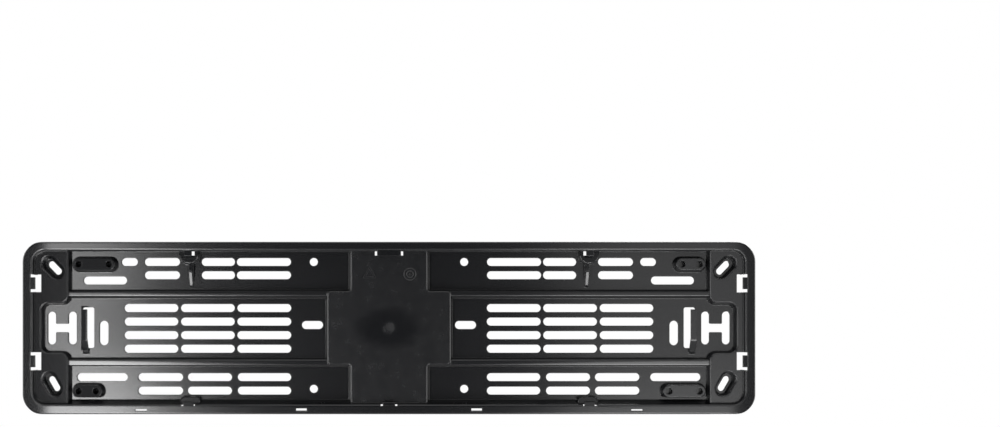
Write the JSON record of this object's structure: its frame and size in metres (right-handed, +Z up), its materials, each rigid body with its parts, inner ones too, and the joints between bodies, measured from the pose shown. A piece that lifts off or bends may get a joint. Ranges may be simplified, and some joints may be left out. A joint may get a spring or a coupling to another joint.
{
  "type": "number plate holder",
  "caption": "Long moulded tray with a raised rim, slotted floor, raised seats, sprung tongues and small hooks that hold a car's number plate.",
  "frame": {"origin": "middle of the flat rear face that lies against the bumper", "axes": "X along the holder, +Z up as on the car, and the plate's side faces -Y"},
  "size_m": [0.5378, 0.013, 0.1264],
  "materials": {
    "holder_plastic": "satin black moulded plastic"
  },
  "bodies": {
    "root": {"plate_holder": "holder_plastic"}
  },
  "joints": []
}
